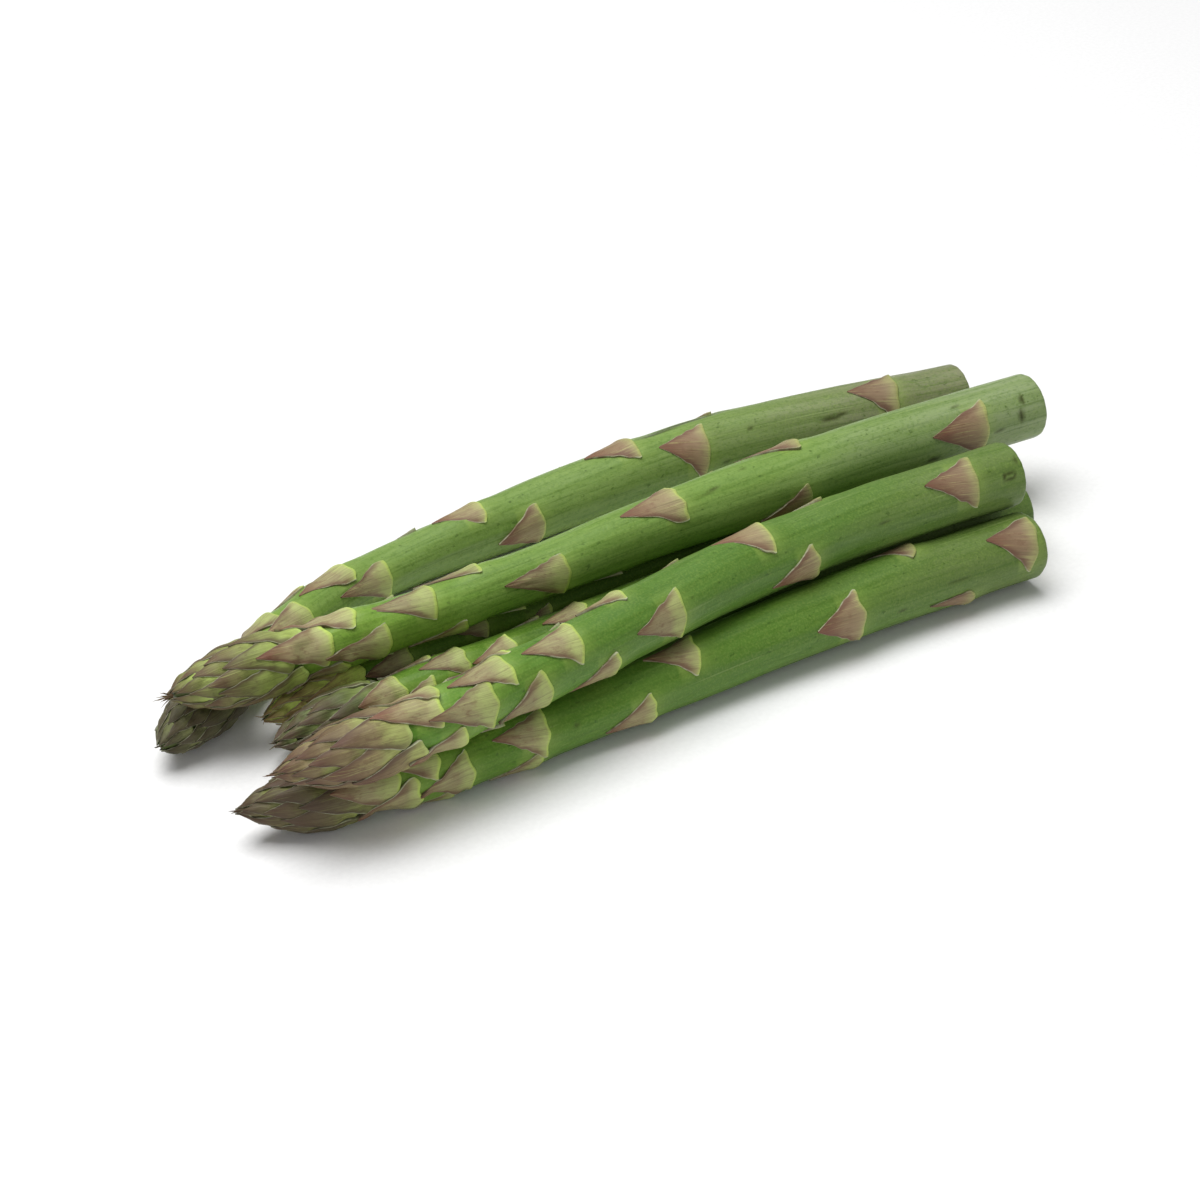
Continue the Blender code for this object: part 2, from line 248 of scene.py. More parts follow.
class Spear:
    """A spear as its CAD nodes show it, with the places and the skin that pieces need."""

    def __init__(self, letter):
        self.letter = letter
        self.node = f"spear_{letter}_stalk"
        self.rng = np.random.default_rng(ord(letter) * 7919)
        self._measure_stalk()
        self.leaves = self._measure_leaves()
        self.uneven = waves(self.rng, 7, (0, 3), (28.0, 90.0), 0.10)
        self.ribs = waves(self.rng, 9, (9, 21), (60.0, 240.0), 0.030)

    def _measure_stalk(self):
        points, edges = node_mesh(self.node)
        first = points[points[:, 0].argmin()]
        tip = np.unique(points[np.linalg.norm(points - first, axis=1) < 1.5].round(3), axis=0)
        along_x = np.linspace(tip[:, 0].mean() + 1.5, points[:, 0].max() - CUT_MARGIN, 90)
        line = np.array([cut_through(points, edges, (x, 0.0, 0.0), (1.0, 0.0, 0.0)).mean(axis=0)
                         for x in along_x])
        for _ in range(2):
            ahead = unit(np.gradient(line, axis=0))
            line = np.array([cut_through(points, edges, p, d).mean(axis=0)
                             for p, d in zip(line, ahead)])
        out = unit(line[-1] - line[-9])
        butt = line[-1] + out * ((points @ out).max() - line[-1] @ out)
        line = np.vstack([tip.mean(axis=0), line, butt])
        run = distance_along(line)
        knots = np.linspace(0.0, run[-1], max(8, int(run[-1] / 12.0)))
        through = np.column_stack([np.interp(knots, run, axis) for axis in line.T])
        self.line = natural_spline(knots, through, np.linspace(0.0, run[-1], 600))
        ahead = self.line[0] + RUN_ON * unit(self.line[0] - self.line[8])
        self.line = np.vstack([ahead, self.line])
        self.station = distance_along(self.line) - RUN_ON
        self.length = self.station[-1]
        self.forward = unit(-np.gradient(self.line, self.station, axis=0))
        self.side = unit(np.cross(self.forward, (0.0, 0.0, 1.0)))
        self.up = np.cross(self.side, self.forward)
        stations = np.concatenate([[0.25, 0.8, 1.6, 2.6, 3.6, 5.0, 6.5, 8.2, 10.0, 12.0],
                                   np.arange(14.0, self.length - 2.0, 4.0)])
        girth = []
        for s in stations:
            centre = self.read(self.line, s)
            cut = cut_through(points, edges, centre, self.read(self.forward, s))
            girth.append(np.linalg.norm(cut - centre, axis=1).max())
        self.girth_station = np.concatenate([[0.0], stations])
        self.girth = np.concatenate([[0.5], girth])

    def read(self, table, station):
        return np.stack([np.interp(station, self.station, column) for column in table.T], axis=-1)

    def radius(self, station):
        return np.interp(station, self.girth_station, self.girth)

    def place(self, station, angle, radius):
        """Points at a station, an angle (radians) and a distance from the centre line."""
        centre = self.read(self.line, station)
        side, up = unit(self.read(self.side, station)), unit(self.read(self.up, station))
        ray = np.cos(angle)[..., None] * up + np.sin(angle)[..., None] * side
        return centre + radius[..., None] * ray

    def where(self, points):
        """Station and angle of points."""
        nearest = np.linalg.norm(points[:, None] - self.line[None], axis=2).argmin(axis=1)
        away = points - self.line[nearest]
        across = np.einsum("ij,ij->i", away, self.side[nearest])
        above = np.einsum("ij,ij->i", away, self.up[nearest])
        return self.station[nearest], np.arctan2(across, above)

    def _measure_leaves(self):
        """CAD leaves: name, base station, length, middle angle and half width (radians)."""
        found = []
        names = sorted(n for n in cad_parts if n.startswith(f"spear_{self.letter}_leaf_"))
        for name in names:
            points, _ = node_mesh(name)
            station, angle = self.where(points)
            middle = math.atan2(np.sin(angle).mean(), np.cos(angle).mean())
            turned = (angle - middle + math.pi) % (2.0 * math.pi) - math.pi
            middle += (turned.max() + turned.min()) / 2.0
            found.append(dict(name=name, base=station.max(), length=np.ptp(station),
                              angle=middle, half=np.ptp(turned) / 2.0))
        return found

    def bud_share(self, station):
        """1 where the scales lie in full layers, 0 on the bare stalk."""
        return 1.0 - smooth_step((station - BUD_FULL) / (BUD_FADED - BUD_FULL))

    def core(self, station):
        """Radius of the stalk under the scales."""
        radius = self.radius(station)
        return np.maximum(radius - BUD_DEPTH * self.bud_share(station), 0.35 * radius)

    def reach_of(self, points):
        """Distance to the centre line, the stalk's radius there and the line's nearest point."""
        step = np.linspace(0, len(self.station) - 1, 300).astype(int)
        line, station = self.line[step], self.station[step]
        away = np.linalg.norm(points[:, None] - line[None], axis=2)
        best = away.argmin(axis=1)
        return away[np.arange(len(points)), best], self.radius(station[best]), line[best]

    def start_field(self):
        """The radius that has been built up so far, over station and angle."""
        self.field_station = np.arange(0.0, self.length, FIELD_STEP)
        self.field_angle = np.arange(FIELD_TURNS) * (2.0 * math.pi / FIELD_TURNS)
        core = self.core(self.field_station)
        self.field = np.repeat(core[:, None], FIELD_TURNS, axis=1)

    def field_under(self, low, high):
        """The built-up radius between two stations, raised to its neighbours and smoothed."""
        first = max(int(low / FIELD_STEP) - 6, 0)
        last = min(int(high / FIELD_STEP) + 6, len(self.field))
        part = self.field[first:last]
        part = np.maximum.reduce([part, shifted(part, 1, 0), shifted(part, -1, 0),
                                  shifted(part, 0, 1), shifted(part, 0, -1)])
        for _ in range(4):
            part = 0.5 * part + 0.25 * (shifted(part, 1, 0) + shifted(part, -1, 0))
            part = 0.5 * part + 0.25 * (shifted(part, 0, 1) + shifted(part, 0, -1))
        return first, part


def kept_apart(points, spear, others):
    """Points of a spear's leaves, pressed back where a neighbour lies against them."""
    for other in others:
        near = np.linspace(0, len(other.station) - 1, 240).astype(int)
        low = other.line[near].min(axis=0) - PRESS_REACH
        high = other.line[near].max(axis=0) + PRESS_REACH
        close = np.flatnonzero(((points > low) & (points < high)).all(axis=1))
        chunks = PRESS_PASSES * max(len(close) // PRESS_CHUNK, 1)
        for part in np.array_split(np.tile(close, PRESS_PASSES), chunks):
            mine, own_radius, centre = spear.reach_of(points[part])
            theirs, their_radius, _ = other.reach_of(points[part])
            over = (mine - own_radius) - (theirs - their_radius) + PRESS_GAP
            move = np.clip(PRESS_SHARE * over, 0.0, 0.8 * mine)[:, None]
            points[part] += move * unit(centre - points[part])
    return points


def shifted(grid, rows, columns):
    """A grid moved by whole cells: held at its ends along the stalk, wound round it."""
    moved = np.roll(grid, columns, axis=1)
    if rows > 0:
        moved = np.vstack([moved[:1], moved[:-1]])
    if rows < 0:
        moved = np.vstack([moved[1:], moved[-1:]])
    return moved


def read_grid(grid, row, column):
    """Read a grid between its cells; columns go round."""
    row = np.clip(row, 0.0, len(grid) - 1.001)
    r, c = np.floor(row).astype(int), np.floor(column).astype(int)
    dr, dc = row - r, column - c
    c, c_next = c % grid.shape[1], (c + 1) % grid.shape[1]
    near = grid[r, c] * (1.0 - dc) + grid[r, c_next] * dc
    far = grid[r + 1, c] * (1.0 - dc) + grid[r + 1, c_next] * dc
    return near * (1.0 - dr) + far * dr


# --- meshes -------------------------------------------------------------------------------

def grid_faces(rows, columns, start=0, closed=False):
    """Four-sided faces over a grid of points."""
    last = columns if closed else columns - 1
    row, column = np.meshgrid(np.arange(rows - 1), np.arange(last), indexing="ij")
    beside = (column + 1) % columns
    corners = [row * columns + column, (row + 1) * columns + column,
               (row + 1) * columns + beside, row * columns + beside]
    return (np.stack(corners, axis=-1).reshape(-1, 4) + start).tolist()


def rim_of_grid(rows, columns):
    """Indices round the border of a grid, once."""
    grid = np.arange(rows * columns).reshape(rows, columns)
    return np.concatenate([grid[0], grid[1:-1, -1], grid[-1, ::-1], grid[1:-1, 0][::-1]])


class Build:
    """Points, faces and named values of a mesh that grows piece by piece."""

    def __init__(self):
        self.points, self.faces, self.count = [], [], 0
        self.values = {}

    def add(self, points, faces, **values):
        self.points.append(points)
        self.faces += [[i + self.count for i in face] for face in faces]
        self.count += len(points)
        for key, value in values.items():
            self.values.setdefault(key, []).append(np.broadcast_to(value, _shape(value, points)))

    def to_object(self, name, material):
        mesh = bpy.data.meshes.new(name)
        points = np.concatenate(self.points)
        low = points[:, 2] < FLOOR_START
        room = FLOOR_START - FLOOR_GAP
        points[low, 2] = FLOOR_GAP + room * np.exp((points[low, 2] - FLOOR_START) / room)
        mesh.from_pydata((points * MM).tolist(), [], self.faces)
        for key, parts in self.values.items():
            data = np.concatenate(parts)
            kind = "FLOAT_VECTOR" if data.ndim == 2 else "FLOAT"
            layer = mesh.attributes.new(key, kind, "POINT")
            layer.data.foreach_set("vector" if data.ndim == 2 else "value",
                                   data.astype(np.float32).ravel())
        mesh.shade_smooth()
        mesh.set_sharp_from_angle(angle=math.radians(SHARP_ANGLE))
        mesh.materials.append(material)
        made = bpy.data.objects.new(name, mesh)
        bpy.context.scene.collection.objects.link(made)
        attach(made, "root")
        return made


def _shape(value, points):
    value = np.asarray(value)
    return (len(points), 3) if value.ndim and value.shape[-1] == 3 else (len(points),)


# --- stalks -------------------------------------------------------------------------------

def turn_between(angle, middle):
    """Angle from a middle, between -pi and pi."""
    return (angle - middle + math.pi) % (2.0 * math.pi) - math.pi


def stalk_skin(spear, station, angle):
    """Radius of a stalk with its unevenness and the swelling behind each leaf."""
    bare = 1.0 - spear.bud_share(station)
    skin = spear.core(station) + bare * (spear.uneven(station, angle)
                                         + spear.ribs(station, angle))
    halo = np.zeros_like(skin)
    for base, middle, half in spear.attached:
        near = np.exp(-((station - base - 0.6) / 3.4) ** 2)
        beside = np.exp(-(turn_between(angle, middle) / half) ** 4)
        skin = skin + 0.42 * near * beside * bare
        fade = np.exp(-(np.maximum(station - base + 1.0, 0.0) / 2.6) ** 1.4)
        fade = fade * (station > base - 6.0)
        halo = np.maximum(halo, fade * beside)
    scar = np.zeros_like(skin)
    for place, middle, long, wide, strength in spear.marks:
        away = ((station - place) / long) ** 2
        away = away + (turn_between(angle, math.radians(middle)) * skin / wide) ** 2
        scar = np.maximum(scar, strength * np.exp(-away ** 2))
    return skin - 0.12 * scar, halo, scar


def build_stalk(spear, material):
    """The stalk from the bud's core to the cut end, closed."""
    length = spear.length
    stations = np.concatenate([[1.6, 1.8, 2.2, 2.7], np.arange(3.3, length - 1.2, RING_STEP),
                               length - np.array([0.9, 0.5, 0.22, 0.06])])
    turns = np.arange(AROUND) * (2.0 * math.pi / AROUND)
    station, angle = np.meshgrid(stations, turns, indexing="ij")
    skin, halo, scar = stalk_skin(spear, station, angle)
    rounding = np.interp(stations, [length - 0.9, length - 0.5, length - 0.22, length - 0.06],
                         [0.0, 0.06, 0.22, 0.50])
    skin = skin - rounding[:, None]
    places = spear.place(station, angle, skin).reshape(-1, 3)
    straight = np.stack([station, skin * np.cos(angle), skin * np.sin(angle)], axis=-1)
    build = Build()
    faces = grid_faces(len(stations), AROUND, closed=True)
    rings, cap_faces, cap_straight, cut = cut_end(spear, skin[-1], turns, len(places))
    tip = spear.place(np.array([1.5]), np.array([0.0]), np.array([0.0]))
    tip_index = len(places) + len(rings)
    tip_faces = [[(i + 1) % AROUND, tip_index, i] for i in range(AROUND)]
    everything = np.concatenate([places, rings, tip])
    build.add(everything, faces + cap_faces + tip_faces,
              straight=np.concatenate([straight.reshape(-1, 3), cap_straight, [[0.0, 0.0, 0.0]]]),
              halo=np.concatenate([halo.ravel(), np.zeros(len(rings) + 1)]),
              scar=np.concatenate([scar.ravel(), np.zeros(len(rings) + 1)]),
              cut=np.concatenate([np.zeros(len(places)), cut, [0.0]]))
    return build.to_object(f"stalk_{spear.letter}", material)


def cut_end(spear, rim, turns, start):
    """Rings of the sawn face, from its rim in to the middle, slightly hollow."""
    shares = np.array([0.97, 0.92, 0.85, 0.76, 0.66, 0.56, 0.46, 0.36, 0.26, 0.16, 0.07])
    share, angle = np.meshgrid(shares, turns, indexing="ij")
    rough = waves(spear.rng, 10, (3, 12), (2.0, 6.0), 0.05)
    hollow = 0.45 * (1.0 - share ** 2) + rough(share * 8.0, angle) * (1.0 - share ** 6)
    station = spear.length - 0.02 - hollow
    radius = rim[None] * share
    rings = spear.place(station, angle, radius)
    centre = spear.place(np.array([spear.length - 0.45]), np.array([0.0]), np.array([0.0]))
    points = np.concatenate([rings.reshape(-1, 3), centre])
    first = start - AROUND
    faces = grid_faces(len(shares) + 1, AROUND, start=first, closed=True)
    last_ring = start + (len(shares) - 1) * AROUND
    middle = start + len(shares) * AROUND
    faces += [[last_ring + i, middle, last_ring + (i + 1) % AROUND] for i in range(AROUND)]
    straight = np.stack([station, radius * np.cos(angle), radius * np.sin(angle)], axis=-1)
    straight = np.concatenate([straight.reshape(-1, 3), [[spear.length, 0.0, 0.0]]])
    cut = np.concatenate([(1.0 - share).ravel() + 0.02, [1.0]])
    return points, faces, straight, np.minimum(cut * 8.0, 1.0)


# --- scale leaves -------------------------------------------------------------------------

NECK_OUTLINE = ([0.0, 0.04, 0.10, 0.20, 0.35, 0.50, 0.65, 0.80, 0.90, 0.96, 1.0],
                [1.00, 1.02, 0.97, 0.86, 0.69, 0.53, 0.38, 0.23, 0.13, 0.07, 0.03])
BUD_OUTLINE = ([0.0, 0.05, 0.12, 0.25, 0.40, 0.55, 0.70, 0.85, 0.95, 1.0],
               [0.80, 0.93, 1.00, 0.98, 0.85, 0.67, 0.47, 0.26, 0.10, 0.03])
NECK_HEIGHT = ([0.0, 0.015, 0.04, 0.09, 0.18, 0.32, 0.50, 0.75, 1.0],
               [0.62, 0.88, 1.04, 1.08, 0.90, 0.68, 0.52, 0.40, 0.26])


def leaf_outline(along, budding):
    """Share of the full half width."""
    neck = np.interp(along, *NECK_OUTLINE)
    return neck + (np.interp(along, *BUD_OUTLINE) - neck) * budding


def leaf_height(along, across, budding):
    """Height of a leaf's outer face over what it lies on."""
    shape = 1.0 - np.abs(across) ** 2.4
    edge = 0.26 + 0.46 * np.exp(-along / 0.14)
    neck = edge + (np.interp(along, *NECK_HEIGHT) * LIP - edge) * shape
    lip = np.interp(along, [0.0, 0.02, 0.07, 0.18, 0.36, 1.0], [0.28, 0.50, 0.58, 0.36, 0.0, 0.0])
    scale_edge = np.interp(along, [0.0, 0.6, 1.0], [0.17, 0.14, 0.07])
    crown = np.interp(along, [0.0, 0.3, 0.7, 1.0], [0.26, 0.42, 0.30, 0.05])
    return neck + (scale_edge + lip + crown * shape - neck) * budding


def add_leaf(build, spear, base, middle, half, length, lean, rows, columns):
    """One closed scale leaf that points to the tip of its spear, laid on the field.

    half is half of its width and lean the sideways place of its tip, both in radians.
    """
    rng = spear.rng
    budding = float(spear.bud_share(np.array(base)))
    u = np.linspace(0.0, 1.0, rows) ** 1.2
    v = np.sin(np.linspace(-1.0, 1.0, columns) * math.pi * 0.45) / math.sin(math.pi * 0.45)
    along, across = np.meshgrid(u, v, indexing="ij")
    ragged = waves(rng, 5, (1, 3), (0.18, 0.9), 0.035)
    width = leaf_outline(along, budding)
    width = width * (1.0 + ragged(along, np.sign(across)) * np.abs(across))
    base_radius = float(spear.radius(np.array(base)))
    scallop = waves(rng, 4, (2, 5), (0.6, 3.0), 0.20)
    corner = np.where(across > 0.0, rng.uniform(0.2, 1.7), rng.uniform(0.2, 1.7))
    drop = corner * across ** 2 * (1.0 - along) ** 1.5
    drop = drop + scallop(0.0 * along, across * 1.6) * (1.0 - along) ** 4
    reach = length * along + drop
    spread = base_radius * half * width * across
    turn = math.atan(base_radius * lean / length)
    station = base - (reach * math.cos(turn) - spread * math.sin(turn) * (1.0 - along))
    station = np.maximum(station, 0.15 + 0.35 * along)
    first, under = spear.field_under(base - length - 1.0, base + 1.0)
    girth = np.maximum(read_grid(under, station / FIELD_STEP - first, 0.0 * station), 1.1)
    angle = middle + spread / girth + lean * along
    column = angle / (2.0 * math.pi) * FIELD_TURNS
    skin = read_grid(under, station / FIELD_STEP - first, column)
    dents = waves(rng, 6, (1, 4), (0.5, 2.2), 0.030)
    height = leaf_height(along, across, budding)
    height = height + dents(along * 2.0, across * 1.5) * (1.2 - np.abs(across))
    height = height + 0.05 * np.exp(-(across / 0.10) ** 2) * (1.0 - along)
    lift = rng.uniform(0.0, 0.45) ** 2 * np.maximum(along - 0.7, 0.0) / 0.3
    height = height + lift
    outer = spear.place(station, angle, skin + height)
    embedded = -0.35 * (1.0 - budding) - 0.05 * budding
    inner = spear.place(station, angle, np.maximum(skin + embedded, 0.12))
    count = rows * columns
    faces = [face[::-1] for face in grid_faces(rows, columns)]
    faces += grid_faces(rows, columns, start=count)
    rim = rim_of_grid(rows, columns).tolist()
    after = rim[1:] + rim[:1]
    faces += [[i + count, j + count, j, i] for i, j in zip(rim, after)]
    points = np.concatenate([outer.reshape(-1, 3), inner.reshape(-1, 3)])
    straight = np.stack([reach, spread, 0.0 * spread], axis=-1).reshape(-1, 3)
    straight = straight + rng.uniform(0.0, 400.0, 3)
    # deep is 0 on the outer face and 1 on the inner face: it carries the painted shade on walls
    # and undersides
    build.add(points, faces,
              straight=np.concatenate([straight, straight]),
              along=np.tile(along.ravel(), 2), across=np.tile(across.ravel(), 2),
              luck=rng.uniform(0.0, 1.0), deep=np.repeat([0.0, 1.0], count),
              old=float(smooth_step((base - 60.0) / 110.0)))
    raise_field(spear, first, under, base, middle, half * base_radius, length, lean, budding)


def raise_field(spear, first, under, base, middle, half_width, length, lean, budding):
    """Add a leaf's thickness to the height field, for the leaves that go over it."""
    station = spear.field_station[first:first + len(under), None]
    along = (base - station) / length
    inside_long = (along >= 0.0) & (along <= 1.0)
    along = np.clip(along, 0.0, 1.0)
    girth = np.maximum(under.mean(axis=1, keepdims=True), 1.1)
    off = turn_between(spear.field_angle[None], middle + lean * along) * girth
    across = off / np.maximum(half_width * leaf_outline(along, budding), 0.05)
    inside = inside_long & (np.abs(across) <= 1.0)
    top = under + leaf_height(along, np.clip(across, -1.0, 1.0), budding)
    part = spear.field[first:first + len(under)]
    part[inside] = np.maximum(part, top)[inside]


def neck_half_angle(station):
    return math.radians(46.0 - 3.0 * smooth_step((station - 40.0) / 140.0))


def bud_scales(spear, facts):
    """The bud's scales, wound at the golden angle: base, angle, half width, length, lean."""
    station, angle = facts["bud"]
    size = float(spear.radius(np.array(20.0))) / 5.8
    scales = []
    while station > 4.5:
        half_width = size * np.interp(station, [5.0, 12.0, 18.0, 24.0, 34.0],
                                      [1.3, 2.2, 2.9, 3.7, 4.4])
        long = np.interp(station, [5.0, 10.0, 18.0, 25.0, 34.0], [4.5, 8.6, 11.8, 15.5, 15.0])
        half = half_width / float(spear.radius(np.array(station)))
        scales.append((station, math.radians(angle), half, min(long, station - 0.3),
                       spear.rng.normal(0.0, 0.09)))
        station -= max(0.081 * (station - 14.5), 0.75)
        angle += facts["turn"] * GOLDEN_ANGLE
    return scales


def build_leaves(spear, others, facts, leaf_skin, bud_skin):
    """All the leaves of a spear, from the innermost of the bud to the last at the butt."""
    bud, neck = Build(), Build()
    jobs = [(base, angle, half, long, lean, bud, None)
            for base, angle, half, long, lean in bud_scales(spear, facts)]
    jobs += [(base, math.radians(angle), neck_half_angle(base), long, math.radians(lean),
              neck, None) for base, angle, lean, long in facts["neck"]]
    jobs += [(leaf["base"], leaf["angle"], leaf["half"], leaf["length"], math.radians(lean),
              Build(), leaf["name"]) for leaf, lean in zip(spear.leaves, facts["lean"])]
    spear.start_field()
    for base, angle, half, long, lean, build, name in sorted(jobs, key=lambda job: job[0]):
        rows, columns = (34, 21) if build is bud else (42, 31)
        add_leaf(build, spear, base, angle, half, long, lean, rows, columns)
        if name:
            made = build.to_object(f"leaf_{spear.letter}_{name.rsplit('_', 1)[1]}", leaf_skin)
            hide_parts(name)
    add_hairs(bud, spear, facts["hairs"])
    for build in (bud, neck):
        build.points = [kept_apart(np.concatenate(build.points), spear, others)]
    neck.to_object(f"neck_leaves_{spear.letter}", leaf_skin)
    bud.to_object(f"bud_scales_{spear.letter}", bud_skin)


def add_hairs(build, spear, count):
    """Dry bristles and torn scale tips at the end of the bud."""
    for _ in range(count):
        angle = spear.rng.uniform(0.0, 2.0 * math.pi)
        long = spear.rng.uniform(1.0, 1.8 + 0.12 * count)
        out = spear.rng.uniform(0.2, 0.8 * long)
        share = np.linspace(0.0, 1.0, 7)
        station = 1.2 - long * share
        away = 0.35 + out * share ** 1.5
        middle = spear.place(station, np.full(7, angle), away)
        thick = 0.17 * (1.0 - share) ** 0.8 + 0.02
        turns = np.arange(6) * math.pi / 3.0
        side, up = spear.side[1], spear.up[1]
        ring = np.cos(turns)[:, None] * side + np.sin(turns)[:, None] * up
        points = (middle[:, None] + thick[:, None, None] * ring[None]).reshape(-1, 3)
        faces = [face[::-1] for face in grid_faces(7, 6, closed=True)]
        faces += [[0, 1, 2, 3, 4, 5], [41, 40, 39, 38, 37, 36]]
        build.add(points, faces, straight=points, along=1.0, across=0.0,
                  luck=spear.rng.uniform(0.0, 1.0), deep=0.0, old=0.0)


# --- materials ----------------------------------------------------------------------------

class Nodes:
    """Short calls for building a node tree."""

    def __init__(self, name):
        self.material = bpy.data.materials.new(name)
        self.material.use_nodes = True
        self.tree = self.material.node_tree
        self.shader = self.tree.nodes["Principled BSDF"]

    def node(self, kind, inputs=(), **settings):
        made = self.tree.nodes.new("ShaderNode" + kind)
        for key, value in settings.items():
            setattr(made, key, value)
        for key, value in dict(inputs).items():
            self.plug(made.inputs[key], value)
        return made

    def plug(self, socket, value):
        if isinstance(value, bpy.types.NodeSocket):
            self.tree.links.new(value, socket)
        elif socket.type == "RGBA" and len(value) == 3:
            socket.default_value = (*value, 1.0)
        else:
            socket.default_value = value

    def value(self, name):
        return self.node("Attribute", attribute_name=name).outputs["Fac"]

    def vector(self, name):
        return self.node("Attribute", attribute_name=name).outputs["Vector"]

    def math(self, operation, a, b=0.0, clamp=False):
        made = self.node("Math", {0: a, 1: b}, operation=operation, use_clamp=clamp)
        return made.outputs[0]

    def between(self, value, low, high, start=0.0, end=1.0):
        made = self.node("MapRange", {0: value, 1: low, 2: high, 3: start, 4: end},
                         interpolation_type="SMOOTHSTEP")
        return made.outputs[0]

    def stretch(self, vector, scale, offset=(0.0, 0.0, 0.0)):
        made = self.node("Mapping", {"Vector": vector, "Scale": scale, "Location": offset})
        return made.outputs[0]

    def noise(self, vector, scale=1.0, detail=2.0, roughness=0.5):
        made = self.node("TexNoise", {"Vector": vector, "Scale": scale, "Detail": detail,
                                      "Roughness": roughness})
        return made.outputs["Fac"]

    def mix(self, factor, a, b, blend="MIX"):
        made = self.node("Mix", {0: factor, 6: a, 7: b}, data_type="RGBA", blend_type=blend)
        return made.outputs[2]

    def ramp(self, factor, stops):
        made = self.node("ValToRGB", {"Fac": factor})
        elements = made.color_ramp.elements
        while len(elements) < len(stops):
            elements.new(1.0)
        for element, (position, colour) in zip(elements, stops):
            element.position = position
            element.color = (*colour, 1.0)
        return made.outputs["Color"]

    def bump(self, height, distance, strength):
        inputs = {"Height": height, "Distance": distance, "Strength": strength}
        return self.node("Bump", inputs).outputs["Normal"]

    def finish(self, colour, roughness, normal, **constants):
        self.plug(self.shader.inputs["Base Color"], colour)
        self.plug(self.shader.inputs["Roughness"], roughness)
        self.plug(self.shader.inputs["Normal"], normal)
        for key, value in constants.items():
            self.shader.inputs[key.replace("_", " ")].default_value = value
        return self.material


def stalk_material(letter, length):
    """Waxy green skin with fine lines along it, paler and greyer near the cut end, with painted
    shade on the core under the bud's scales.
    """
    n = Nodes(f"stalk_skin_{letter}")
    neck, middle, butt = COLOURS[letter]["stem"]
    straight = n.vector("straight")
    station = n.node("SeparateXYZ", {0: straight}).outputs[0]
    cloud = n.noise(n.stretch(straight, (0.05, 0.12, 0.12)), detail=3.0)
    shifted = n.math("ADD", station, n.math("MULTIPLY", n.math("SUBTRACT", cloud, 0.5), 60.0))
    colour = n.mix(n.between(shifted, 30.0, 90.0), neck, middle)
    colour = n.mix(n.between(shifted, length * 0.62, length * 1.0), colour, butt)
    broad = n.noise(n.stretch(straight, (0.02, 0.45, 0.45)), detail=3.0, roughness=0.6)
    colour = n.mix(n.between(broad, 0.35, 0.65), colour, n.mix(1.0, colour, (0.80, 0.86, 0.70),
                                                               "MULTIPLY"))
    fine = n.noise(n.stretch(straight, (0.035, 1.9, 1.9)), detail=3.0, roughness=0.6)
    colour = n.mix(n.between(fine, 0.30, 0.50, 0.42, 0.0), colour, (0.050, 0.120, 0.010))
    pale_lines = n.between(n.noise(n.stretch(straight, (0.016, 1.25, 1.25), (7.0, 3.0, 1.0)),
                                   detail=1.0), 0.68, 0.76, 0.0, 0.22)
    colour = n.mix(pale_lines, colour, (0.380, 0.500, 0.170))
    grain = n.noise(straight, 2.2, detail=2.0)
    colour = n.mix(n.between(grain, 0.40, 0.75, 0.0, 0.22), colour, (0.310, 0.430, 0.090))
    mottle = n.noise(n.stretch(straight, (0.9, 1.3, 1.3), (3.0, 8.0, 6.0)), detail=4.0,
                     roughness=0.7)
    colour = n.mix(n.between(mottle, 0.50, 0.64, 0.0, 0.36), colour, (0.070, 0.150, 0.012))
    specks = n.noise(n.stretch(straight, (0.55, 0.9, 0.9), (11.0, 5.0, 3.0)), detail=3.0)
    colour = n.mix(n.between(specks, 0.66, 0.72, 0.0, 0.55), colour, (0.040, 0.085, 0.010))
    halo = n.value("halo")
    colour = n.mix(n.math("MULTIPLY", halo, 0.42), colour, (0.310, 0.430, 0.090))
    flesh = n.ramp(n.noise(n.stretch(straight, (0.0, 1.6, 1.6)), detail=3.0),
                   [(0.30, (0.300, 0.380, 0.130)), (0.50, (0.480, 0.540, 0.260)),
                    (0.70, (0.600, 0.620, 0.380))])
    dots = n.node("TexVoronoi", {"Vector": n.stretch(straight, (0.0, 1.0, 1.0)), "Scale": 1.1})
    flesh = n.mix(n.between(dots.outputs["Distance"], 0.10, 0.22, 0.55, 0.0), flesh,
                  (0.230, 0.260, 0.100))
    # Painted shade: the stalk under the bud's scales is darkened towards the tip, so the gaps
    # between the scales read as shadow
    colour = n.mix(n.between(station, 10.0, 27.0, 0.90, 0.0), colour, (0.060, 0.072, 0.020))
    colour = n.mix(n.math("MULTIPLY", n.value("scar"), 0.92), colour, (0.042, 0.048, 0.010))
    cut = n.value("cut")
    colour = n.mix(cut, colour, flesh)
    roughness = n.between(n.noise(n.stretch(straight, (0.2, 0.6, 0.6)), detail=2.0),
                          0.3, 0.7, 0.34, 0.50)
    height = n.math("ADD", n.math("MULTIPLY", fine, 0.8), n.math("MULTIPLY", grain, 0.5))
    normal = n.bump(height, 0.00016, 0.55)
    return n.finish(colour, roughness, normal, Specular_IOR_Level=0.25)


